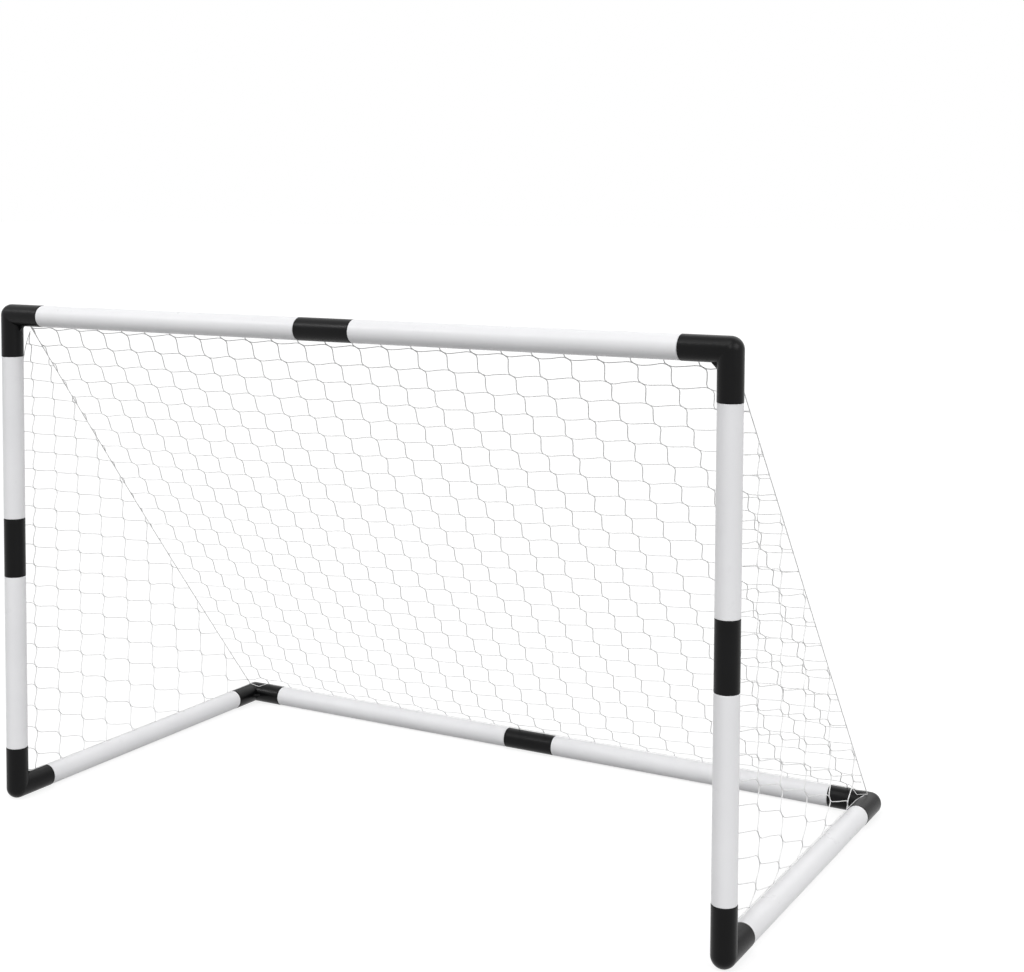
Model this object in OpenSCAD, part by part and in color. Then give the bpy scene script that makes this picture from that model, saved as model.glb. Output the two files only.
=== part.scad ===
// Small backyard goal: white push-fit tubes, black elbows and couplers, and a white hexagonal net.
// Millimetres, +Z up, the mouth faces -Y. The origin is at the middle of the footprint, on the ground.

/* [Goal] */
// Width over the corner elbows
goal_w = 935; // [500:5:1400]
// Depth from the face of the posts to the back of the rear bar
goal_d = 485; // [300:5:800]
// Height over the crossbar's elbows
goal_h = 595; // [400:5:1000]

/* [Tubes] */
// Outer diameter of every tube
tube_od = 25; // [20:0.5:32]
// Wall of every tube
tube_wall = 1.2; // [1:0.1:1.8]
// Bevel on the outer edge of a tube's ends
tube_bevel = 0.5; // [0.2:0.1:0.7]

/* [Connectors] */
// How far an elbow stands proud of the tubes
elbow_proud = 0.3; // [0:0.1:0.8]
// Leg of an elbow, from its outer face to the tube's end
elbow_leg = 62; // [45:1:90]
// Thickness of the web in an elbow's inner corner
web_t = 3; // [2:0.5:6]
// Reach of that web along each leg
web_reach = 6; // [3:1:14]
// Visible length of a coupler, between its two tubes
coupler_l = 70; // [40:1:110]
// How far the left post's coupler sits above mid-height
left_coupler_rise = 7; // [-20:1:20]
// Rounding of a connector's rims
rim_r = 0.8; // [0.4:0.1:0.8]

/* [Spigots] */
// Length of a spigot inside its tube
spigot_l = 40; // [25:1:60]
// Radial clearance between a spigot's ribs and its tube
spigot_gap = 0.1; // [0.05:0.05:0.3]
// Wall of a spigot, under its ribs
spigot_wall = 2; // [1.5:0.1:3]
// Number of ribs round a spigot
rib_count = 6; // [4:1:8]
// Width of a spigot's rib
rib_w = 2.4; // [1.5:0.1:3.5]
// Height of a spigot's rib
rib_h = 0.8; // [0.4:0.1:1.2]
// Lead-in bevel at a spigot's tip
lead_in = 1.5; // [0.5:0.1:1.5]

/* [Net] */
// Thickness of the net's twine
twine_d = 1.6; // [1.2:0.1:3]
// Width of the net's edge band
edge_band = 3; // [2:0.5:8]
// Diameter of the cord along the seam between the back and a side
seam_d = 3; // [2:0.5:5]
// Clearance between the net and the frame
net_gap = 0.3; // [0.2:0.1:1]
// Width of a mesh in the back net
back_mesh_w = 36.3; // [24:0.1:60]
// Height of a mesh in the back net
back_mesh_h = 29.6; // [20:0.1:50]
// Width of a mesh in the left net
left_mesh_w = 42; // [30:1:90]
// Width of a mesh in the right net, which is pulled wider
right_mesh_w = 70; // [30:1:90]
// Height of a mesh in both side nets
side_mesh_h = 24.7; // [18:0.1:50]

/* [Net's pull] */
// From the left side to the back net's first knot
back_start_w = 42.3; // [20:0.1:70]
// From the rear bar up to the back net's first knot
back_start_h = 25.4; // [10:0.1:50]
// How far a column of the back net leans to the right in each row
back_lean = 0.3; // [-5:0.1:5]
// How far a row of the back net falls in each column
back_fall = 0.2; // [-5:0.1:10]
// Width of a short link in the back net
back_link_w = 7.3; // [2:0.1:20]
// Height of a short link in the back net
back_link_h = 4.7; // [0:0.1:15]
// From the left post to the left net's first knot
left_start_w = 37.5; // [15:0.5:60]
// From the left side tube up to the left net's first knot
left_start_h = 33.3; // [10:0.1:60]
// How far a column of the left net leans to the post in each row
left_lean = 0.2; // [-5:0.1:5]
// How far a row of the left net falls in each column
left_fall = 12; // [0:0.5:30]
// Width of a short link in the left net
left_link_w = 6; // [2:0.5:20]
// Height of a short link in the left net
left_link_h = 7; // [0:0.5:15]
// From the right post to the right net's first knot
right_start_w = 22; // [10:0.5:60]
// From the right side tube up to the right net's first knot
right_start_h = 27.4; // [10:0.1:60]
// How far a row of the right net falls in each column
right_fall = 24; // [0:0.5:40]
// Width of a short link in the right net
right_link_w = 11; // [2:0.5:20]
// Height of a short link in the right net
right_link_h = 9.5; // [0:0.5:15]

/* [Hidden] */
$fn = 64;
tube_white = "whitesmoke";
connector_black = [0.11, 0.11, 0.12];
net_white = [0.93, 0.93, 0.92];

tube_r = tube_od / 2;
bore_r = tube_r - tube_wall;
elbow_r = tube_r + elbow_proud;
crest_r = bore_r - spigot_gap;
barrel_r = crest_r - rib_h;
hollow_r = barrel_r - spigot_wall;

// Axes of the tubes, and where a tube starts, measured from the corner that its elbow turns
side_x = goal_w / 2 - elbow_r;
front_y = elbow_r - goal_d / 2;
rear_y = goal_d / 2 - elbow_r;
low_z = elbow_r;
top_z = goal_h - elbow_r;
leg_end = elbow_leg - elbow_r;
left_coupler_z = goal_h / 2 + left_coupler_rise;
right_coupler_z = goal_h / 2;

// The net's slope runs from the rear bar's axis up to the crossbar's axis
depth = rear_y - front_y;
rise = top_z - low_z;
slope_l = norm([depth, rise]);
clear = elbow_r + net_gap;
seam_clear = seam_d / 2 + net_gap;

// A net's meshes are hexagons: a cross strand above and below, and a long strand and a short link
// on each side. A lattice is its first knot, the steps to the next column's and the next row's,
// and the cross strand that leaves each knot. What a strand doesn't span, the short link does.
back_lattice = [
    [back_start_w - side_x, back_start_h], [back_mesh_w, -back_fall], [back_lean, back_mesh_h],
    [back_mesh_w - back_link_w, back_link_h - back_fall]
];
left_lattice = [
    [left_start_w, left_start_h], [left_mesh_w, -left_fall], [-left_lean, side_mesh_h],
    [left_mesh_w - left_link_w, left_link_h - left_fall]
];
right_lattice = [
    [right_start_w, right_start_h], [right_mesh_w, -right_fall], [0, side_mesh_h],
    [right_mesh_w - right_link_w, right_link_h - right_fall]
];

// Shared shapes

// A round bar along +Z with both outer edges bevelled or rounded
module bar(r, length, edge) {
    rotate_extrude()
        polygon([
            [0, 0], [r - edge, 0], [r, edge],
            [r, length - edge], [r - edge, length], [0, length]
        ]);
}

module tube(length) {
    color(tube_white)
        difference() {
            bar(tube_r, length, tube_bevel);
            translate([0, 0, -1]) cylinder(r = bore_r, h = length + 2);
        }
}

// A connector's leg along +Z with a rounded rim at its end
module leg(r, length) {
    rotate_extrude() {
        square([r - rim_r, length]);
        square([r, length - rim_r]);
        translate([r - rim_r, length - rim_r])
            intersection() {
                circle(r = rim_r);
                square(rim_r);
            }
    }
}

// A ribbed spigot along +Z that starts a little inside the leg that carries it
module spigot() {
    root = 3;
    translate([0, 0, -root])
        intersection() {
            bar(crest_r, spigot_l + root, lead_in);
            union() {
                cylinder(r = barrel_r, h = spigot_l + root);
                for (k = [0 : rib_count - 1])
                    rotate([0, 0, k * 360 / rib_count])
                        translate([0, -rib_w / 2, 0])
                            cube([crest_r + 1, rib_w, spigot_l + root]);
            }
        }
}

// The hollow inside one leg and its spigot
module hollow() {
    cylinder(r = hollow_r, h = leg_end + spigot_l + 1);
}

// An elbow with its corner at the origin and its legs along +X and +Z
module elbow() {
    color(connector_black)
        difference() {
            union() {
                sphere(r = elbow_r);
                for (turn = [0, 90])
                    rotate([0, turn, 0]) {
                        leg(elbow_r, leg_end);
                        translate([0, 0, leg_end]) spigot();
                    }
                corner_web();
            }
            sphere(r = hollow_r);
            for (turn = [0, 90])
                rotate([0, turn, 0]) hollow();
        }
}

// The thin web that stiffens the inner corner
module corner_web() {
    inner = hollow_r + 1;
    tip = elbow_r + web_reach;
    translate([0, web_t / 2, 0])
        rotate([90, 0, 0])
            linear_extrude(web_t)
                polygon([[inner, inner], [tip, inner], [tip, elbow_r], [elbow_r, tip], [inner, tip]]);
}

// A straight coupler, its middle at the origin, along Z
module coupler() {
    half = coupler_l / 2;
    color(connector_black)
        difference() {
            for (end = [0, 1])
                mirror([0, 0, end]) {
                    leg(tube_r, half);
                    translate([0, 0, half]) spigot();
                }
            cylinder(r = hollow_r, h = coupler_l + 2 * spigot_l + 2, center = true);
        }
}

// A tube standing on a post's axis between two heights
module post_tube(x, z0, z1) {
    translate([x, front_y, z0]) tube(z1 - z0);
}

// A tube along X between two places, at y and z
module cross_tube(y, z, x0, x1) {
    translate([x0, y, z]) rotate([0, 90, 0]) tube(x1 - x0);
}

// The net

function knot(lattice, i, j) = lattice[0] + i * lattice[1] + j * lattice[2];
function strand_end(lattice, i, j) = knot(lattice, i, j) + lattice[3];
function mesh_outline(lattice, i, j) = [
    knot(lattice, i, j), strand_end(lattice, i, j), knot(lattice, i + 1, j),
    strand_end(lattice, i, j - 1), knot(lattice, i, j - 1), strand_end(lattice, i - 1, j - 1)
];
function middle(points) = [for (k = [0, 1]) [for (p = points) p[k]] * [for (p = points) 1] / len(points)];
// An outline of about that width and height, drawn in by half a twine all round
function hole(outline, w, h) = let (c = middle(outline))
    [for (p = outline) [c[0] + (p[0] - c[0]) * (1 - twine_d / w), c[1] + (p[1] - c[1]) * (1 - twine_d / h)]];

// The holes of a net over a panel that starts at x = left and is as large as size
module meshes(lattice, left, size) {
    mesh_w = lattice[1][0];
    mesh_h = lattice[2][1];
    cols = ceil(size[0] / mesh_w) + 1;
    rows = ceil((size[1] + cols * abs(lattice[1][1])) / mesh_h) + 2;
    for (i = [-1 : cols])
        for (j = [-1 : rows]) {
            outline = mesh_outline(lattice, i, j);
            c = middle(outline);
            past_x = abs(c[0] - left - size[0] / 2) - size[0] / 2;
            past_y = abs(c[1] - size[1] / 2) - size[1] / 2;
            if (past_x < mesh_w && past_y < mesh_h)
                polygon(hole(outline, mesh_w, mesh_h));
        }
}

// The back net's outline, seen from the mouth: x across, y up the slope from the rear bar's axis.
// Its corners are cut off where the elbows' other legs pass.
module back_outline(inset) {
    wide = side_x - seam_clear - inset;
    narrow = side_x - clear - inset;
    foot = clear + inset;
    foot_corner = (clear + twine_d / 2) * slope_l / rise + inset;
    head = slope_l - clear - inset;
    head_corner = slope_l - (clear + twine_d) * slope_l / depth - inset;
    polygon([
        [-narrow, foot], [narrow, foot], [wide, foot_corner], [wide, head_corner],
        [narrow, head], [-narrow, head], [-wide, head_corner], [-wide, foot_corner]
    ]);
}

// A side net's outline: x backwards from the post's axis, y upwards from the side tube's axis
module side_outline(inset) {
    near = clear + inset;
    // how far the slanting edge moves down and forward from the line between the corners
    drop = (seam_clear + inset) * slope_l / depth;
    head = rise - near * rise / depth - drop;
    foot = depth - near * depth / rise - drop * depth / rise;
    cut = clear + web_reach + inset;
    polygon([[near, cut], [cut, near], [foot, near], [near, head]]);
}

// A flat net: its first child is its outline, and its second the outline inside its edge band
module net_panel(lattice, left, size) {
    color(net_white)
        translate([0, 0, -twine_d / 2])
            linear_extrude(twine_d)
                difference() {
                    children(0);
                    intersection() {
                        children(1);
                        meshes(lattice, left, size);
                    }
                }
}

module side_net(x, lattice) {
    translate([x, front_y, low_z])
        rotate([90, 0, 90])
            net_panel(lattice, 0, [depth, rise]) {
                side_outline(0);
                side_outline(edge_band);
            }
}

// The cord along the seam, from the top elbow down to the rear elbow
module seam_cord(x) {
    reach = elbow_r + net_gap + seam_d / 2;
    start = reach * slope_l / depth;
    end = slope_l - reach * slope_l / rise;
    color(net_white)
        translate([x, front_y, top_z])
            rotate([-90 - atan2(rise, depth), 0, 0])
                translate([0, 0, start])
                    cylinder(d = seam_d, h = end - start);
}

// Base

module front_left_elbow() {
    translate([-side_x, front_y, low_z]) rotate([0, 0, 90]) elbow();
}

module front_right_elbow() {
    translate([side_x, front_y, low_z]) rotate([0, 0, 90]) elbow();
}

module side_tube(x) {
    translate([x, front_y + leg_end, low_z])
        rotate([-90, 0, 0])
            tube(depth - 2 * leg_end);
}

module left_side_tube() {
    side_tube(-side_x);
}

module right_side_tube() {
    side_tube(side_x);
}

module rear_left_elbow() {
    translate([-side_x, rear_y, low_z]) rotate([90, 0, 0]) elbow();
}

module rear_right_elbow() {
    translate([side_x, rear_y, low_z]) rotate([90, 0, -90]) elbow();
}

module rear_bar_left_tube() {
    cross_tube(rear_y, low_z, leg_end - side_x, -coupler_l / 2);
}

module rear_bar_coupler() {
    translate([0, rear_y, low_z]) rotate([0, 90, 0]) coupler();
}

module rear_bar_right_tube() {
    cross_tube(rear_y, low_z, coupler_l / 2, side_x - leg_end);
}

// Upright frame

module left_post_lower_tube() {
    post_tube(-side_x, low_z + leg_end, left_coupler_z - coupler_l / 2);
}

module left_post_coupler() {
    translate([-side_x, front_y, left_coupler_z]) coupler();
}

module left_post_upper_tube() {
    post_tube(-side_x, left_coupler_z + coupler_l / 2, top_z - leg_end);
}

module right_post_lower_tube() {
    post_tube(side_x, low_z + leg_end, right_coupler_z - coupler_l / 2);
}

module right_post_coupler() {
    translate([side_x, front_y, right_coupler_z]) coupler();
}

module right_post_upper_tube() {
    post_tube(side_x, right_coupler_z + coupler_l / 2, top_z - leg_end);
}

module top_left_elbow() {
    translate([-side_x, front_y, top_z]) rotate([0, 90, 0]) elbow();
}

module top_right_elbow() {
    translate([side_x, front_y, top_z]) rotate([0, 180, 0]) elbow();
}

module crossbar_left_tube() {
    cross_tube(front_y, top_z, leg_end - side_x, -coupler_l / 2);
}

module crossbar_coupler() {
    translate([0, front_y, top_z]) rotate([0, 90, 0]) coupler();
}

module crossbar_right_tube() {
    cross_tube(front_y, top_z, coupler_l / 2, side_x - leg_end);
}

// Net

module back_net() {
    translate([0, rear_y, low_z])
        rotate([atan2(rise, -depth), 0, 0])
            net_panel(back_lattice, -side_x, [2 * side_x, slope_l]) {
                back_outline(0);
                back_outline(edge_band);
            }
}

module left_net() {
    side_net(-side_x, left_lattice);
}

module right_net() {
    side_net(side_x, right_lattice);
}

module left_seam_cord() {
    seam_cord(-side_x);
}

module right_seam_cord() {
    seam_cord(side_x);
}

front_left_elbow();
front_right_elbow();
left_side_tube();
right_side_tube();
rear_left_elbow();
rear_right_elbow();
rear_bar_left_tube();
rear_bar_coupler();
rear_bar_right_tube();
left_post_lower_tube();
left_post_coupler();
left_post_upper_tube();
right_post_lower_tube();
right_post_coupler();
right_post_upper_tube();
top_left_elbow();
top_right_elbow();
crossbar_left_tube();
crossbar_coupler();
crossbar_right_tube();
back_net();
left_net();
right_net();
left_seam_cord();
right_seam_cord();
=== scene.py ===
"""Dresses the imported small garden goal: plastics, twine nets, seam cords, floor, light and camera.

Lengths are metres in the shared frame, except that a net's panel, its lattice and the constants
beside them are in millimetres.
"""

import math
import random

import bpy
from mathutils import Matrix, Vector
from mathutils.bvhtree import BVHTree


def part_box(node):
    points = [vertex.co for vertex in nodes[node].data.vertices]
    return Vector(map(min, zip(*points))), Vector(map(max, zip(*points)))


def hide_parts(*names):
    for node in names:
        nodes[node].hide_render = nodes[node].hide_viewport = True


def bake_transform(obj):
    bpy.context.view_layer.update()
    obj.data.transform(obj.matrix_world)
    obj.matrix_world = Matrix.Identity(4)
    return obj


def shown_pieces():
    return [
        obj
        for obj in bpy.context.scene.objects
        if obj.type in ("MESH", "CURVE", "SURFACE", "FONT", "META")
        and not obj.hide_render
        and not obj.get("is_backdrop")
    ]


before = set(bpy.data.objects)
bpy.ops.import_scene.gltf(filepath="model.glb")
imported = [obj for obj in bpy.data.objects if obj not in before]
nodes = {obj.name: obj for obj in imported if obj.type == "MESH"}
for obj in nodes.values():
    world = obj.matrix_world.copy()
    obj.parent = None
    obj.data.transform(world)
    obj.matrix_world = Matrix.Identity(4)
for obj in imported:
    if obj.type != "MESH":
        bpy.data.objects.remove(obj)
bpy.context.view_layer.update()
MM = 0.001


# ------------------------------------------------------------ sizes taken from the CAD

def middle(node):
    low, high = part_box(node)
    return (low + high) / 2


SIDE_X = -middle("left_post_lower_tube").x
FRONT_Y = middle("left_post_lower_tube").y
REAR_Y = middle("rear_bar_left_tube").y
LOW_Z = middle("left_side_tube").z
TOP_Z = middle("crossbar_left_tube").z
TUBE_R = (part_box("crossbar_left_tube")[1].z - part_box("crossbar_left_tube")[0].z) / 2
ELBOW_R = LOW_Z

# In millimetres: how far the rear bar lies behind the crossbar, how far below it, and both at once
DEPTH = (REAR_Y - FRONT_Y) / MM
RISE = (TOP_Z - LOW_Z) / MM
SLOPE = math.hypot(DEPTH, RISE)
HALF_WIDTH = SIDE_X / MM


# ------------------------------------------------------------ camera, settled by the image points

LENS = 58.16
SENSOR = 36.0
SHIFT_X = 0.0
SHIFT_Y = -0.1816
CAMERA_PLACE = (1.01701, -1.65128, 0.70890)
CAMERA_YAW = 29.1534
CAMERA_PITCH = -3.1026
CAMERA_ROLL = -0.2781
NEAR_CLIP = 0.05
FAR_CLIP = 200.0

camera_data = bpy.data.cameras.new("camera")
camera = bpy.data.objects.new("camera", camera_data)
bpy.context.collection.objects.link(camera)
bpy.context.scene.camera = camera
camera_data.sensor_fit = "AUTO"
camera_data.sensor_width = SENSOR
camera_data.lens = LENS
camera_data.shift_x = SHIFT_X
camera_data.shift_y = SHIFT_Y
camera_data.clip_start = NEAR_CLIP
camera_data.clip_end = FAR_CLIP
camera_data.dof.use_dof = False
turn = (
    Matrix.Rotation(math.radians(CAMERA_YAW), 4, "Z")
    @ Matrix.Rotation(math.radians(CAMERA_PITCH), 4, "X")
    @ Matrix.Rotation(math.radians(CAMERA_ROLL), 4, "Y")
    @ Matrix.Rotation(math.radians(90), 4, "X")
)
camera.matrix_world = Matrix.Translation(CAMERA_PLACE) @ turn

# Named places in the photograph's frame, 1024 by 972
WIDE, HIGH = 1024, 972
LONG_SIDE = max(WIDE, HIGH)
POINTS = {
    "left_edge": (3, None),
    "right_edge": (881, None),
    "top_edge": (None, 305),
    "bottom_edge": (None, 971),
    "left_post_top_elbow_end": (14.0, 354.4),
    "left_post_coupler_top": (15.2, 518.6),
    "left_post_coupler_bottom": (15.6, 576.7),
    "left_post_bottom_elbow_end": (16.8, 748.5),
    "right_post_top_elbow_end": (728.0, 401.8),
    "right_post_coupler_top": (727.2, 620.3),
    "right_post_coupler_bottom": (726.9, 694.9),
    "right_post_bottom_elbow_end": (726.2, 908.9),
    "crossbar_left_elbow_end": (38.0, 315.4),
    "crossbar_coupler_left": (294.0, 328.2),
    "crossbar_coupler_right": (350.7, 331.0),
    "crossbar_right_elbow_end": (674.6, 347.2),
    "rear_bar_coupler_left": (501.9, 736.0),
    "rear_bar_coupler_right": (550.7, 744.7),
    "right_side_rear_elbow_end": (865.3, 807.1),
    "rear_bar_left_elbow_end": (277.0, 695.9),
}


# ------------------------------------------------------------ materials

NOISE_LOW, NOISE_HIGH = 0.3, 0.7  # nearly all of a noise texture's values lie between these
DIE_LINES_ACROSS, DIE_LINES_ALONG = 260.0, 3.0  # how fast a tube's die lines vary
PLIES = 3  # of which a twine is laid


def new_material(name, **sockets):
    """A Principled material, its plain numbers written on the shader's own sockets."""
    material = bpy.data.materials.new(name)
    material.use_nodes = True
    shader = material.node_tree.nodes["Principled BSDF"]
    for socket, value in sockets.items():
        shader.inputs[socket.replace("_", " ")].default_value = value
    return material, material.node_tree.nodes, material.node_tree.links, shader


def place_texture(tree_nodes, links, stretch=(1, 1, 1)):
    coordinates = tree_nodes.new("ShaderNodeTexCoord")
    mapping = tree_nodes.new("ShaderNodeMapping")
    mapping.inputs["Scale"].default_value = stretch
    links.new(coordinates.outputs["Object"], mapping.inputs["Vector"])
    return mapping.outputs["Vector"]


def math_node(tree_nodes, links, operation, *values):
    """A math node, each of its values either a plain number or another node's output."""
    made = tree_nodes.new("ShaderNodeMath")
    made.operation = operation
    for socket, value in zip(made.inputs, values):
        if isinstance(value, (int, float)):
            socket.default_value = value
        else:
            links.new(value, socket)
    return made.outputs["Value"]


def noise_texture(tree_nodes, links, vector, scale, detail=4.0, roughness=0.55):
    texture = tree_nodes.new("ShaderNodeTexNoise")
    texture.inputs["Scale"].default_value = scale
    texture.inputs["Detail"].default_value = detail
    texture.inputs["Roughness"].default_value = roughness
    links.new(vector, texture.inputs["Vector"])
    return texture.outputs["Fac"]


def ramp_between(tree_nodes, links, factor, low, high):
    """A colour that goes from low to high with a noise texture."""
    ramp = tree_nodes.new("ShaderNodeValToRGB")
    ends = ((NOISE_LOW, low), (NOISE_HIGH, high))
    for element, (position, colour) in zip(ramp.color_ramp.elements, ends):
        element.position = position
        element.color = (*colour, 1)
    links.new(factor, ramp.inputs["Fac"])
    return ramp.outputs["Color"]


def number_between(tree_nodes, links, factor, low, high):
    """A number that goes from low to high with a noise texture."""
    span = tree_nodes.new("ShaderNodeMapRange")
    span.inputs["From Min"].default_value = NOISE_LOW
    span.inputs["From Max"].default_value = NOISE_HIGH
    span.inputs["To Min"].default_value = low
    span.inputs["To Max"].default_value = high
    links.new(factor, span.inputs["Value"])
    return span.outputs["Result"]


def add_bump(tree_nodes, links, height, strength, distance, below=None):
    bump = tree_nodes.new("ShaderNodeBump")
    bump.inputs["Strength"].default_value = strength
    bump.inputs["Distance"].default_value = distance
    links.new(height, bump.inputs["Height"])
    if below is not None:
        links.new(below, bump.inputs["Normal"])
    return bump.outputs["Normal"]


def tube_plastic(name, along):
    """White extruded plastic: faint die lines along the tube, soft cloudiness and a few scuffs."""
    material, tree, links, shader = new_material(name, IOR=1.47, Specular_IOR_Level=0.25)
    body = place_texture(tree, links)
    stretch = [DIE_LINES_ACROSS] * 3
    stretch[along] = DIE_LINES_ALONG
    lines = noise_texture(tree, links, place_texture(tree, links, stretch), scale=1.0, detail=3.0)
    cloud = noise_texture(tree, links, body, scale=9.0, detail=5.0)
    scuff = noise_texture(tree, links, body, scale=60.0, detail=8.0, roughness=0.7)
    grain = noise_texture(tree, links, body, scale=900.0, detail=2.0)
    colour = ramp_between(tree, links, cloud, (0.842, 0.842, 0.858), (0.892, 0.892, 0.906))
    links.new(colour, shader.inputs["Base Color"])
    roughness = number_between(tree, links, scuff, low=0.24, high=0.44)
    links.new(roughness, shader.inputs["Roughness"])
    lined = add_bump(tree, links, lines, strength=0.10, distance=0.0004)
    grained = add_bump(tree, links, grain, strength=0.03, distance=0.0002, below=lined)
    links.new(grained, shader.inputs["Normal"])
    return material


def connector_plastic():
    """Black moulded plastic with a fine eroded grain and slightly paler rubbed patches."""
    material, tree, links, shader = new_material("black_plastic", IOR=1.47, Specular_IOR_Level=0.16)
    body = place_texture(tree, links)
    cloud = noise_texture(tree, links, body, scale=16.0, detail=5.0, roughness=0.6)
    grain = noise_texture(tree, links, body, scale=1500.0, detail=3.0, roughness=0.6)
    pits = noise_texture(tree, links, body, scale=420.0, detail=4.0, roughness=0.6)
    colour = ramp_between(tree, links, cloud, (0.0016, 0.0016, 0.0018), (0.0036, 0.0036, 0.0040))
    links.new(colour, shader.inputs["Base Color"])
    roughness = number_between(tree, links, cloud, low=0.28, high=0.38)
    links.new(roughness, shader.inputs["Roughness"])
    grained = add_bump(tree, links, grain, strength=0.20, distance=0.0003)
    pitted = add_bump(tree, links, pits, strength=0.10, distance=0.0006, below=grained)
    links.new(pitted, shader.inputs["Normal"])
    return material


def twine_fibre(name, dull, bright):
    """White polyester twine: its plies wind round the strand, and loose fibres roughen it."""
    material, tree, links, shader = new_material(
        name, Specular_IOR_Level=0.25, Sheen_Weight=0.4, Sheen_Roughness=0.5,
        Subsurface_Weight=0.6, Subsurface_Radius=(1.0, 1.0, 1.0), Subsurface_Scale=0.0006,
    )
    body = place_texture(tree, links)
    strand = tree.new("ShaderNodeUVMap")
    strand.uv_map = "strand"
    parts = tree.new("ShaderNodeSeparateXYZ")
    links.new(strand.outputs["UV"], parts.inputs["Vector"])
    turns = math_node(
        tree, links, "MULTIPLY_ADD", parts.outputs["X"], PLIES, parts.outputs["Y"]
    )
    angle = math_node(tree, links, "MULTIPLY", turns, 2 * math.pi)
    wave = math_node(tree, links, "SINE", angle)
    fibres = noise_texture(tree, links, body, scale=2600.0, detail=3.0, roughness=0.65)
    cloud = noise_texture(tree, links, body, scale=30.0)
    colour = ramp_between(tree, links, cloud, [dull] * 3, [bright] * 3)
    links.new(colour, shader.inputs["Base Color"])
    roughness = number_between(tree, links, fibres, low=0.62, high=0.85)
    links.new(roughness, shader.inputs["Roughness"])
    wound = add_bump(tree, links, wave, strength=0.25, distance=0.0001)
    loose = add_bump(tree, links, fibres, strength=0.2, distance=0.00006, below=wound)
    links.new(loose, shader.inputs["Normal"])
    return material


tube_materials = [tube_plastic("white_tube_" + axis, k) for k, axis in enumerate("xyz")]
black_plastic = connector_plastic()
net_twine = twine_fibre("net_twine", 0.945, 0.975)
cord_twine = twine_fibre("cord_twine", 0.96, 0.985)

for name, node in nodes.items():
    if name.endswith("_tube"):
        along = 2 if "post" in name else 1 if "side" in name else 0
        node.material_slots[0].material = tube_materials[along]
    elif name.endswith(("_elbow", "_coupler")):
        node.material_slots[0].material = black_plastic


# ------------------------------------------------------------ strands

SIDES = 6  # of a strand's cross-section
TWINE_PITCH = 0.0045  # the length in which a twine's plies go round it once
SAME_PLACE = 1e-6  # points of a strand that are nearer than this are one
FAR_AWAY = 1e9


class Strands:
    """Round strands gathered into one mesh, with a UV map that runs round and along each one."""

    def __init__(self):
        self.corners = []
        self.faces = []
        self.uvs = []

    def add(self, points, radius):
        """One strand of this radius through these points."""
        points = [
            p for k, p in enumerate(points) if k == 0 or (p - points[k - 1]).length > SAME_PLACE
        ]
        if len(points) < 2:
            return
        start = len(self.corners)
        along = 0.0
        turns = []
        side = None
        for k, point in enumerate(points):
            before, after = points[max(k - 1, 0)], points[min(k + 1, len(points) - 1)]
            forward = (after - before).normalized()
            if side is None:
                side = forward.orthogonal().normalized()
            side = (side - forward * side.dot(forward)).normalized()
            up = forward.cross(side)
            if k:
                along += (point - points[k - 1]).length
            turns.append(along / TWINE_PITCH)
            for s in range(SIDES):
                angle = 2 * math.pi * s / SIDES
                outward = side * math.cos(angle) + up * math.sin(angle)
                self.corners.append(point + outward * radius)
        for k in range(len(points) - 1):
            for s in range(SIDES):
                a, b = start + k * SIDES + s, start + k * SIDES + (s + 1) % SIDES
                self.faces.append((a, b, b + SIDES, a + SIDES))
                here, on = s / SIDES, (s + 1) / SIDES
                self.uvs += [(here, turns[k]), (on, turns[k])]
                self.uvs += [(on, turns[k + 1]), (here, turns[k + 1])]
        last = start + (len(points) - 1) * SIDES
        self.faces.append(tuple(range(start + SIDES - 1, start - 1, -1)))
        self.faces.append(tuple(range(last, last + SIDES)))
        self.uvs += [(s / SIDES, 0.0) for s in range(SIDES)] * 2

    def build(self, name, material):
        mesh = bpy.data.meshes.new(name)
        mesh.from_pydata([tuple(c) for c in self.corners], [], self.faces)
        layer = mesh.uv_layers.new(name="strand")
        layer.data.foreach_set("uv", [value for uv in self.uvs for value in uv])
        mesh.polygons.foreach_set("use_smooth", [True] * len(mesh.polygons))
        mesh.materials.append(material)
        mesh.update()
        made = bpy.data.objects.new(name, mesh)
        bpy.context.collection.objects.link(made)
        return made


def rounded(path, reach):
    """The same path, each inner corner rounded from at most so far before it to so far after."""
    most = 0.45  # of a straight run
    out = [path[0]]
    for k in range(1, len(path) - 1):
        here = Vector(path[k])
        back = Vector(path[k - 1]) - here
        on = Vector(path[k + 1]) - here
        a = here + back.normalized() * min(reach, back.length * most)
        b = here + on.normalized() * min(reach, on.length * most)
        out += [tuple(a), tuple(a * 0.25 + here * 0.5 + b * 0.25), tuple(b)]
    out.append(path[-1])
    return out


def sides_of(outline):
    """Each straight side of a closed outline, from its start to its end."""
    return zip(outline, outline[1:] + outline[:1])


def distance_inside(outline, u, v):
    """How far (u, v) is inside a convex outline that runs anticlockwise; below zero outside."""
    nearest = FAR_AWAY
    for (x0, y0), (x1, y1) in sides_of(outline):
        length = math.hypot(x1 - x0, y1 - y0)
        nearest = min(nearest, ((x1 - x0) * (v - y0) - (y1 - y0) * (u - x0)) / length)
    return nearest


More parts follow.
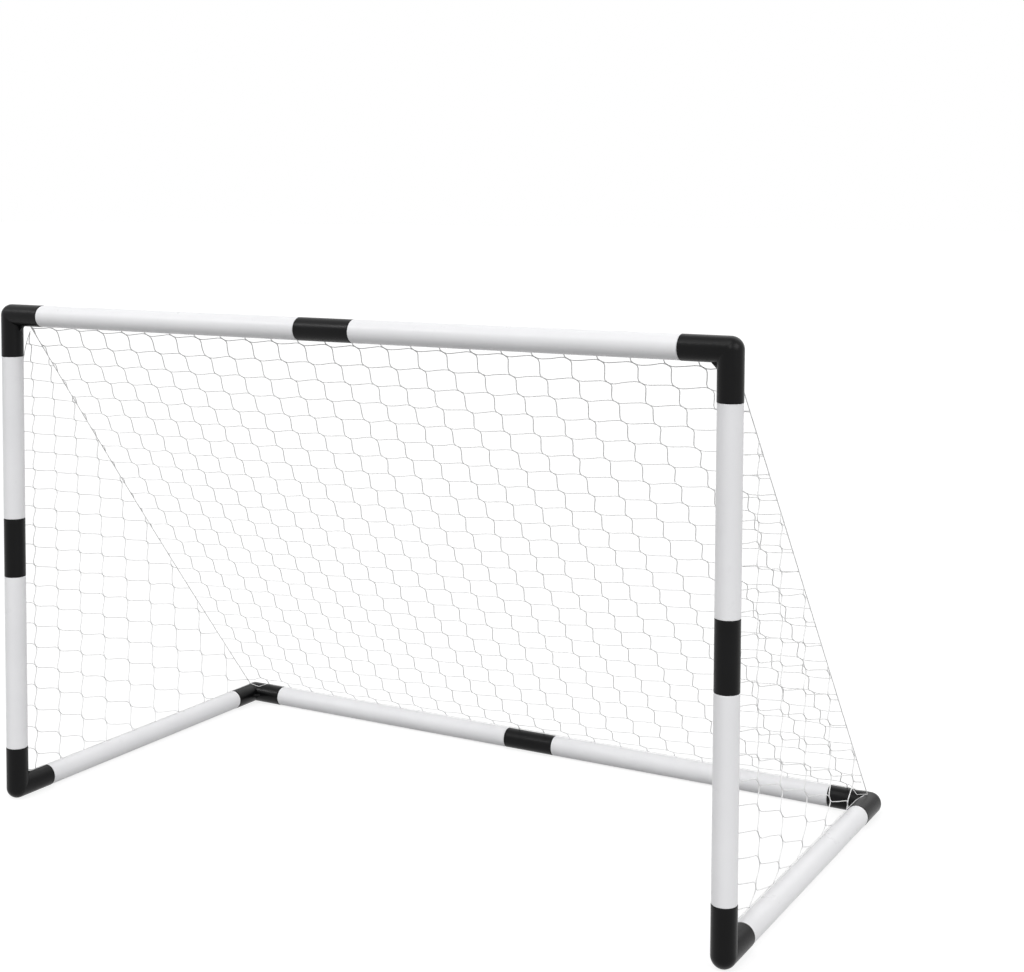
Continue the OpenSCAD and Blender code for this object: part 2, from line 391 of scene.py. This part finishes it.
def clipped(path, outline):
    """The runs of a path that lie inside a convex outline."""
    runs, run = [], []
    for a, b in zip(path, path[1:]):
        t0, t1 = 0.0, 1.0
        for (x0, y0), (x1, y1) in sides_of(outline):
            da = (x1 - x0) * (a[1] - y0) - (y1 - y0) * (a[0] - x0)
            db = (x1 - x0) * (b[1] - y0) - (y1 - y0) * (b[0] - x0)
            if da < 0 and db < 0:
                t0, t1 = 1.0, 0.0
                break
            if da < 0:
                t0 = max(t0, da / (da - db))
            elif db < 0:
                t1 = min(t1, da / (da - db))
        if t0 >= t1:
            if len(run) > 1:
                runs.append(run)
            run = []
            continue
        start = tuple(p + (q - p) * t0 for p, q in zip(a, b))
        end = tuple(p + (q - p) * t1 for p, q in zip(a, b))
        if t0 > 0 or not run:
            if len(run) > 1:
                runs.append(run)
            run = [start]
        run.append(end)
        if t1 < 1:
            runs.append(run)
            run = []
    if len(run) > 1:
        runs.append(run)
    return runs


# ------------------------------------------------------------ nets

def series(terms, a, b):
    """A polynomial in a and b, its terms in the order 1, b, bb, bbb, a, ab, abb, aa, aab, aaa."""
    degree = {10: 3, 6: 2}[len(terms)]
    powers = [a**m * b**n for m in range(degree + 1) for n in range(degree + 1 - m)]
    return sum(t * p for t, p in zip(terms, powers))


# How each panel is pulled: the place of a mesh's knot by column and row, and the cross strand from
# it, in millimetres across and up the panel
BACK = {
    "columns": (-14, 14), "rows": (-1, 26), "middle": (0, 12), "unit": (12, 12),
    "across": [27.4, 5.2, -0.1, 0.4, 436.6, -9.4, 0.3, -0.8, 0.0, 0.0],
    "up": [387.8, 354.4, -8.3, 0.9, -1.1, -0.3, 0.5, 0.0, 0.4, -2.1],
    "strand_across": [29.1, -0.6, 0.0, -0.2, 0.0, 0.0],
    "strand_up": [4.6, -0.1, 0.1, 0.0, 0.1, -0.4],
}
LEFT = {
    "columns": (-1, 11), "rows": (-3, 28), "middle": (0, 0), "unit": (5, 12),
    "across": [34.7, -1.5, 3.3, -1.4, 189.1, -14.8, 1.0, 26.6, -4.4, 1.8],
    "up": [30.4, 324.9, -23.9, 1.1, -84.9, 49.9, -7.3, -13.6, 4.4, 0.7],
    "strand_across": [32.8, -3.1, 0.1, 11.1, -1.8, 1.0],
    "strand_up": [-7.7, 4.5, -0.8, -3.5, 0.8, 0.5],
}
RIGHT = {
    "columns": (-1, 7), "rows": (-3, 26), "middle": (0, 0), "unit": (3, 12),
    "across": [36.1, -24.4, 14.3, -3.3, 197.1, -18.1, 2.3, 18.5, -1.7, 3.1],
    "up": [0.4, 331.6, -39.9, 5.8, -95.3, 50.0, -5.6, -6.2, 3.5, -3.1],
    "strand_across": [58.0, -4.8, 0.1, 8.3, -1.3, 4.3],
    "strand_up": [-18.1, 9.6, -1.1, -5.0, 2.5, -1.7],
}

# Radii of the strands: the columns' twine, the rows' twine and the cord along an edge
COLUMN_R = 0.57
ROW_R = 0.46
CORD_R = 0.40

CORD_OUT = ELBOW_R / MM + 0.65  # how far an edge cord lies from its tube's axis
CORD_STEP = 8.0  # about how far apart an edge cord's points are
WEB_REACH = 7.0  # how much further the web in an elbow's corner pushes the cord out
ELBOW_CLEAR = 3.0  # how far before a side net's sharp corners its cord ends
FOOT_CORNER_CLEAR, HEAD_CORNER_CLEAR = 0.8, 1.6  # how much further in the back net's corners are
SEAM_STEPS = 15  # of the back net's side along the bowed seam
LINK_OUT, LINK_OFF = 0.32, 0.30  # how far beside and off a short link each of its two twines lies
KNOT_SCATTER = 0.45  # how far knots lie off the lattice
COLUMN_BOW, ROW_BOW, BOW_OFF = 0.35, 0.4, 0.2  # how far strands bend, in the panel and off it
BOW_SHARE = 0.1  # how far from its middle a strand bends most, as a share of its length
BEND = 4.2  # how far before a knot a strand starts to turn
SHORTEST = 1.0  # a run of strand below this is left out
SAG_FADE = 90.0  # how far in from its edges a panel has all of its sag
RIPPLE = 0.7  # how far a panel waves to and fro beside its sag
WAVE_ACROSS, WAVE_UP = (0.021, 1.3), (0.017, 0.4)  # the wave's turn per millimetre, and its start

SEAM_BOW = 19.5  # how far the left seam's top is drawn inward along the crossbar
BOW_FADE = 90.0  # how far in front of the seam the left net is drawn inward with it
LOOK_ACROSS = 1.32  # how far back a place on the left net seems to move, per one it is drawn inward
ROLL_FADE = 12.0  # how near its ends a net's foot comes back into the panel's plane
ROLL_REACH = 60.0  # how far up a net its foot's roll round the tube is felt
DRAW_ROUNDS = 4  # of working out where a cord's point seems to be once it is drawn inward
ON_FOOT = 0.01  # a cord's point this near to a foot's height is on the foot


def share(value):
    """The value, kept between 0 and 1."""
    return max(0.0, min(1.0, value))


def seam_bow(down):
    """How far inward the left seam lies, so far down it as a share of its length."""
    return SEAM_BOW * max(0.0, 1 - down) ** 2


def drawn_inward(u, v):
    """How far inward the left net lies at a place, beside its bowed seam, as the camera sees it."""
    down = 1 - v / RISE
    beside = 1 - (DEPTH * down + LOOK_ACROSS * seam_bow(down) - u) / BOW_FADE
    return seam_bow(down) * share(beside) ** 2


class Panel:
    """A net in a convex outline: a point is so far across and up it, and so far off its plane.

    draw tells how far inward a seam draws each place of it. roll is how many degrees its foot goes
    round the tube between its ends.
    """

    def __init__(self, lattice, origin, across, up, outline, seed, sag, draw, roll, ends):
        self.lattice = lattice
        self.origin, self.across, self.up = Vector(origin), Vector(across), Vector(up)
        self.off = self.across.cross(self.up)
        self.outline = outline
        self.luck = random.Random(seed)
        self.sag = sag
        self.draw = draw
        self.roll = math.radians(roll)
        self.ends = ends
        self.nudges = {}

    def point(self, u, v, w):
        """The place in the shared frame of a point on the panel, with its sag and ripple."""
        edge = share(distance_inside(self.outline, u, v) / SAG_FADE)
        ease = edge * edge * (3 - 2 * edge)
        (turn_u, start_u), (turn_v, start_v) = WAVE_ACROSS, WAVE_UP
        wave = math.sin(u * turn_u + start_u) * math.sin(v * turn_v + start_v)
        return self.plain_point(u, v, w + ease * (self.sag + RIPPLE * wave))

    def plain_point(self, u, v, w):
        """The same without them, as for a cord along the frame."""
        return self.origin + (self.across * u + self.up * v + self.off * w) * MM

    def nudge(self, key):
        """How far the knot of this column and row lies off the lattice."""
        if key not in self.nudges:
            self.nudges[key] = (self.luck.gauss(0, KNOT_SCATTER), self.luck.gauss(0, KNOT_SCATTER))
        return self.nudges[key]

    def knot(self, i, j):
        """Both ends of the cross strand that starts in column i and row j."""
        lattice = self.lattice
        a = (i - lattice["middle"][0]) / lattice["unit"][0]
        b = (j - lattice["middle"][1]) / lattice["unit"][1]
        u, v = series(lattice["across"], a, b), series(lattice["up"], a, b)
        on_u, on_v = series(lattice["strand_across"], a, b), series(lattice["strand_up"], a, b)
        du, dv = self.nudge((i, j))
        eu, ev = self.nudge((i + 1, j))
        return (u + du, v + dv), (u + on_u + eu, v + on_v + ev)

    def beside(self, end, other, out, off):
        """A place beside an end of the short link, where its two twines pass round each other."""
        du, dv = other[0] - end[0], other[1] - end[1]
        length = math.hypot(du, dv) or 1.0
        return end[0] - dv / length * out, end[1] + du / length * out, off

    def bowed(self, a, b, size):
        """A point near the middle of a strand, a little off the straight line."""
        t = 0.5 + self.luck.uniform(-BOW_SHARE, BOW_SHARE)
        du, dv = b[0] - a[0], b[1] - a[1]
        length = math.hypot(du, dv) or 1.0
        bow = self.luck.gauss(0, size)
        off = self.luck.gauss(0, BOW_OFF)
        return a[0] + du * t - dv / length * bow, a[1] + dv * t + du / length * bow, off

    def twine(self, strands, knots, side, bow, radius):
        """One twine through the short links at these knots, on one side of each link."""
        path = []
        for i, j in knots:
            arrive = self.knot(i - 1, j)[1]
            leave = self.knot(i, j)[0]
            a = self.beside(arrive, leave, side * LINK_OUT, side * LINK_OFF)
            b = self.beside(leave, arrive, side * LINK_OUT, -side * LINK_OFF)
            if path:
                path.append(self.bowed(path[-1], a, bow))
            path += [a, b]
        self.lay(strands, path, radius)

    def weave(self, strands):
        """A twine down each column and one along each row, which cross in the short links."""
        (first, last), (low, high) = self.lattice["columns"], self.lattice["rows"]
        columns, rows = range(first, last + 1), range(low, high + 1)
        for i in columns:
            self.twine(strands, [(i, j) for j in reversed(rows)], 1, COLUMN_BOW, COLUMN_R)
        for j in rows:
            self.twine(strands, [(i, j) for i in columns], -1, ROW_BOW, ROW_R)

    def foot(self, u):
        """Where the net's foot lies against its ground tube: how far above the axis, and off it."""
        angle = self.roll * share(min(u - self.ends[0], self.ends[1] - u) / ROLL_FADE)
        return CORD_OUT * math.cos(angle), -CORD_OUT * math.sin(angle)

    def drawn(self, path):
        """The same path, drawn inward with the seam and with its foot rolled round the tube."""
        moved = []
        for u, v, w in path:
            if self.draw:
                inward = self.draw(u, v)
                u, w = u - LOOK_ACROSS * inward, w + inward
            if self.roll:
                low, off = self.foot(u)
                w += off * share(1 - (v - low) / ROLL_REACH) ** 2
            moved.append((u, v, w))
        return moved

    def lay(self, strands, path, radius):
        """A twine along this path, where it lies inside the panel's outline."""
        for run in clipped(self.drawn(rounded(path, BEND)), self.outline):
            if sum(math.dist(a, b) for a, b in zip(run, run[1:])) > SHORTEST:
                strands.add([self.point(*p) for p in run], radius * MM)

    def cord(self, strands, path):
        """An edge cord along the frame, through plain points across and up."""
        points = []
        for (u0, v0), (u1, v1) in zip(path, path[1:]):
            du, dv = u1 - u0, v1 - v0
            steps = max(1, round(math.hypot(du, dv) / CORD_STEP))
            points += [(u0 + du * k / steps, v0 + dv * k / steps) for k in range(steps)]
        points.append(path[-1])
        laid = []
        for u, v in points:
            off = 0.0
            if self.draw:
                for _ in range(DRAW_ROUNDS):
                    off = self.draw(u + LOOK_ACROSS * off, v)
            if self.roll and v < CORD_OUT + ON_FOOT:
                v, off = self.foot(u)
            laid.append(self.plain_point(u, v, off))
        strands.add(laid, CORD_R * MM)


def back_panel():
    """The back net and its cords. Its left side follows the bowed seam."""
    narrow = HALF_WIDTH - CORD_OUT
    foot, head = CORD_OUT, SLOPE - CORD_OUT
    foot_corner = (CORD_OUT + FOOT_CORNER_CLEAR) * SLOPE / RISE
    head_corner = SLOPE - (CORD_OUT + HEAD_CORNER_CLEAR) * SLOPE / DEPTH
    roll = 60
    low = CORD_OUT * math.cos(math.radians(roll))
    outline = [
        (-narrow, foot), (ROLL_FADE - narrow, low), (narrow - ROLL_FADE, low), (narrow, foot),
        (HALF_WIDTH, foot_corner), (HALF_WIDTH, head_corner), (narrow, head),
    ]
    for k in range(SEAM_STEPS + 1):
        v = head + (foot_corner - head) * k / SEAM_STEPS
        outline.append((-HALF_WIDTH + seam_bow(1 - v / SLOPE), v))
    panel = Panel(
        BACK, origin=(0, REAR_Y, LOW_Z), across=(1, 0, 0), up=(0, -DEPTH / SLOPE, RISE / SLOPE),
        outline=outline, seed=11, sag=-1.2, draw=None, roll=roll, ends=(-narrow, narrow),
    )
    foot_cord = [
        (-HALF_WIDTH, foot_corner), (-narrow, foot), (narrow, foot), (HALF_WIDTH, foot_corner),
    ]
    head_cord = outline[5:8]
    return panel, [foot_cord, head_cord]


def side_panel(x, lattice, seed, sag, draw, roll):
    """A side net and its cord along the post and the side tube."""
    near = CORD_OUT
    web_end = CORD_OUT + WEB_REACH
    foot = DEPTH - near * DEPTH / RISE
    head = RISE - near * RISE / DEPTH
    low = near * math.cos(math.radians(roll))
    outline = [
        (near, web_end), (web_end, near), (web_end + ROLL_FADE, low), (foot - ROLL_FADE, low),
        (foot, near), (near, head),
    ]
    panel = Panel(
        lattice, origin=(x, FRONT_Y, LOW_Z), across=(0, 1, 0), up=(0, 0, 1),
        outline=outline, seed=seed, sag=sag, draw=draw, roll=roll, ends=(web_end, foot),
    )
    cord = [
        (near, head - ELBOW_CLEAR), (near, web_end), (web_end, near), (foot - ELBOW_CLEAR, near),
    ]
    return panel, [cord]


SEAM_PLY_R = 0.31 * MM
PLY_OVERLAP = 1.02  # how much wider a ply is than just touches the next
SEAM_PITCH = 0.0065  # the length in which a seam cord's plies go round once
STEPS_A_TURN = 9


def twisted_cord(strands, start, end, bow):
    """A seam's cord: plies wound round each other, with bow moving each place inward."""
    forward = (end - start).normalized()
    side = forward.orthogonal().normalized()
    up = forward.cross(side)
    length = (end - start).length
    steps = round(length / SEAM_PITCH * STEPS_A_TURN)
    for ply in range(PLIES):
        points = []
        for k in range(steps + 1):
            s = k / steps * length
            angle = 2 * math.pi * (s / SEAM_PITCH + ply / PLIES)
            outward = (side * math.cos(angle) + up * math.sin(angle)) * SEAM_PLY_R
            points.append(start + forward * s + outward + Vector((bow(s), 0, 0)))
        strands.add(points, SEAM_PLY_R * PLY_OVERLAP)


def dress_net(name, made, node):
    made.name = name
    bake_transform(made)
    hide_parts(node)


for name, node, (panel, cords) in (
    ("hex_net_back", "back_net", back_panel()),
    ("hex_net_left", "left_net", side_panel(-SIDE_X, LEFT, 23, 0.8, drawn_inward, 0)),
    ("hex_net_right", "right_net", side_panel(SIDE_X, RIGHT, 37, -0.8, None, 54)),
):
    strands = Strands()
    panel.weave(strands)
    for path in cords:
        panel.cord(strands, path)
    dress_net(name, strands.build(name, net_twine), node)

# The seams run down from the top elbows' corners. The left one starts beside the crossbar, where
# its bow takes it, and the right one where it clears its elbow.
SEAM_CLEAR, CROSSBAR_CLEAR = 0.0012, 0.0013
LEFT_START = ELBOW_R + CROSSBAR_CLEAR
RIGHT_START = (ELBOW_R + SEAM_CLEAR) * SLOPE / DEPTH
SEAM_END = SLOPE * MM - (ELBOW_R + SEAM_CLEAR) * SLOPE / RISE
down_seam = Vector((0, REAR_Y - FRONT_Y, LOW_Z - TOP_Z)).normalized()


def left_bow(s):
    """How far inward the left seam's cord lies, so far from its start."""
    return seam_bow((LEFT_START + s) / (SLOPE * MM)) * MM


for name, node, x, start, bow in (
    ("seam_twine_left", "left_seam_cord", -SIDE_X, LEFT_START, left_bow),
    ("seam_twine_right", "right_seam_cord", SIDE_X, RIGHT_START, lambda s: 0.0),
):
    strands = Strands()
    corner = Vector((x, FRONT_Y, TOP_Z))
    twisted_cord(strands, corner + down_seam * start, corner + down_seam * SEAM_END, bow)
    dress_net(name, strands.build(name, cord_twine), node)


# ------------------------------------------------------------ floor, backdrop and light

FLOOR_REACH = 60
FLOOR_DROP = 0.0004  # keeps the floor clear of the ground tubes
FLOOR_GREY, SHADOW_GREY = 0.40, 0.30  # as it lights the goal, and as it takes the goal's shadow
FLOOR_GLOW = 0.80
WORLD_LIGHT = 0.20
BACKDROP = 1.0


def shows_backdrop(tree, links):
    """1 for a ray from the camera, a reflection or something clear, 0 for light that spreads."""
    path = tree.new("ShaderNodeLightPath")
    seen = path.outputs["Is Camera Ray"]
    for kind in ("Is Glossy Ray", "Is Transmission Ray"):
        seen = math_node(tree, links, "MAXIMUM", seen, path.outputs[kind])
    return seen


def mix_by_ray(tree, links, output, spread, shown):
    """Gives one shader to the light that spreads, and another to what shows."""
    choose = tree.new("ShaderNodeMixShader")
    links.new(shows_backdrop(tree, links), choose.inputs["Fac"])
    links.new(spread, choose.inputs[1])
    links.new(shown, choose.inputs[2])
    links.new(choose.outputs["Shader"], tree.new(output).inputs["Surface"])


def diffuse(tree, grey):
    made = tree.new("ShaderNodeBsdfDiffuse")
    made.inputs["Color"].default_value = (grey, grey, grey, 1)
    return made.outputs["BSDF"]


def white_background(tree, strength):
    made = tree.new("ShaderNodeBackground")
    made.inputs["Color"].default_value = (1, 1, 1, 1)
    made.inputs["Strength"].default_value = strength
    return made.outputs["Background"]


near, far = -FLOOR_REACH, FLOOR_REACH
floor_mesh = bpy.data.meshes.new("floor")
floor_mesh.from_pydata(
    [(near, near, 0), (far, near, 0), (far, far, 0), (near, far, 0)], [], [(0, 1, 2, 3)]
)
floor = bpy.data.objects.new("floor", floor_mesh)
floor.location.z = -FLOOR_DROP
bpy.context.collection.objects.link(floor)
floor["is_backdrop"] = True
pale = bpy.data.materials.new("pale_floor")
pale.use_nodes = True
tree, links = pale.node_tree.nodes, pale.node_tree.links
tree.clear()
glow = tree.new("ShaderNodeEmission")
glow.inputs["Strength"].default_value = FLOOR_GLOW
white = tree.new("ShaderNodeAddShader")
links.new(diffuse(tree, SHADOW_GREY), white.inputs[0])
links.new(glow.outputs["Emission"], white.inputs[1])
mix_by_ray(
    tree, links, "ShaderNodeOutputMaterial", diffuse(tree, FLOOR_GREY), white.outputs["Shader"]
)
floor_mesh.materials.append(pale)

world = bpy.data.worlds.new("studio")
bpy.context.scene.world = world
world.use_nodes = True
tree, links = world.node_tree.nodes, world.node_tree.links
tree.clear()
mix_by_ray(
    tree, links, "ShaderNodeOutputWorld",
    white_background(tree, WORLD_LIGHT), white_background(tree, BACKDROP),
)


def add_sun(name, energy, toward, spread):
    """A broad lamp, so many degrees across, that stands in the direction given by toward."""
    data = bpy.data.lights.new(name, "SUN")
    data.energy = energy
    data.angle = math.radians(spread)
    light = bpy.data.objects.new(name, data)
    light.location = (0, 0, 3)
    light.rotation_mode = "QUATERNION"
    light.rotation_quaternion = Vector(toward).to_track_quat("Z", "Y")
    light.visible_camera = False
    bpy.context.collection.objects.link(light)


for name, energy, toward, spread in (
    ("key_light", 0.50, (0.25, -0.95, 0.58), 24),
    ("side_light", 1.38, (1, -0.3, 0.6), 40),
    ("glint_light", 0.62, (-0.58, -0.55, 0.60), 14),
    ("high_light", 0.86, (-0.1, -0.5, 0.85), 40),
    ("back_light", 0.49, (0, 1, 1), 50),
):
    add_sun(name, energy, toward, spread)

bpy.context.scene.view_settings.view_transform = "Standard"


# ------------------------------------------------------------ image points

FOCAL = LONG_SIDE * LENS / SENSOR  # the lens in pixels
TOUCH = 0.0015  # nearer to a place than this, nothing hides it
SEARCH_FROM, SEARCH_STEP, SEARCH_STEPS = 1.0, 0.005, 400  # along a ray that misses everything


def seen_at(place):
    """Where a point in the shared frame shows in the image."""
    local = camera.matrix_world.inverted() @ Vector(place)
    x = WIDE / 2 - SHIFT_X * LONG_SIDE + FOCAL * local.x / -local.z
    y = HIGH / 2 + SHIFT_Y * LONG_SIDE - FOCAL * local.y / -local.z
    return x, y


def surface_at(x, y, trees):
    """The first place under an image point, or the place nearest to its ray if that misses all."""
    across, up = x - WIDE / 2 + SHIFT_X * LONG_SIDE, HIGH / 2 - y + SHIFT_Y * LONG_SIDE
    origin = camera.matrix_world.translation
    direction = (camera.matrix_world.to_3x3() @ Vector((across, up, -FOCAL))).normalized()
    hits = [tree.ray_cast(origin, direction) for tree in trees]
    hits = [(distance, found) for found, _, _, distance in hits if found is not None]
    if hits:
        return min(hits, key=lambda hit: hit[0])[1]
    best, shortest = None, FAR_AWAY
    for tree in trees:
        for k in range(SEARCH_STEPS):
            place = origin + direction * (SEARCH_FROM + k * SEARCH_STEP)
            found, _, _, distance = tree.find_nearest(place)
            if found is not None and distance < shortest:
                best, shortest = found, distance
    return best


bpy.context.view_layer.update()
graph = bpy.context.evaluated_depsgraph_get()
trees = {
    o.name: BVHTree.FromObject(o, graph)
    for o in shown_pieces()
    if "_net_" not in o.name and "_twine_" not in o.name
}
eye = camera.matrix_world.translation


def shows(place):
    """Whether nothing but the nets and the seam cords stands between the camera and a point."""
    direction = Vector(place) - eye
    length = direction.length - TOUCH
    direction.normalize()
    return all(tree.ray_cast(eye, direction, length)[0] is None for tree in trees.values())


def ring_end(node, axis, end):
    """The point that faces the camera on the rim at one end of a tube."""
    place = middle(node)
    place[axis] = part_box(node)[end][axis]
    along = Vector([float(k == axis) for k in range(3)])
    toward = eye - place
    toward = (toward - along * toward.dot(along)).normalized()
    return place + toward * TUBE_R


# What shows each place: the tube that ends there, its axis, and which of its two ends
RINGS = {
    "left_post_top_elbow_end": ("left_post_upper_tube", 2, 1),
    "left_post_coupler_top": ("left_post_upper_tube", 2, 0),
    "left_post_coupler_bottom": ("left_post_lower_tube", 2, 1),
    "left_post_bottom_elbow_end": ("left_post_lower_tube", 2, 0),
    "right_post_top_elbow_end": ("right_post_upper_tube", 2, 1),
    "right_post_coupler_top": ("right_post_upper_tube", 2, 0),
    "right_post_coupler_bottom": ("right_post_lower_tube", 2, 1),
    "right_post_bottom_elbow_end": ("right_post_lower_tube", 2, 0),
    "crossbar_left_elbow_end": ("crossbar_left_tube", 0, 0),
    "crossbar_coupler_left": ("crossbar_left_tube", 0, 1),
    "crossbar_coupler_right": ("crossbar_right_tube", 0, 0),
    "crossbar_right_elbow_end": ("crossbar_right_tube", 0, 1),
    "rear_bar_coupler_left": ("rear_bar_left_tube", 0, 1),
    "rear_bar_coupler_right": ("rear_bar_right_tube", 0, 0),
    "right_side_rear_elbow_end": ("right_side_tube", 1, 1),
    "rear_bar_left_elbow_end": ("rear_bar_left_tube", 0, 0),
}

for name, (node, axis, end) in RINGS.items():
    place = ring_end(node, axis, end)
    x, y = seen_at(place)
    target = POINTS[name]
    hit = surface_at(*target, trees.values())
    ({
        "point": list(target),
        "dx": round(x - target[0], 2),
        "dy": round(y - target[1], 2),
        "shows": shows(place),
        "off_mm": round((hit - place).length / MM, 1),
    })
corners = [
    seen_at(o.matrix_world @ v.co)
    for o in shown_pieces()
    if o.name in trees
    for v in o.data.vertices
    if shows(o.matrix_world @ v.co)
]
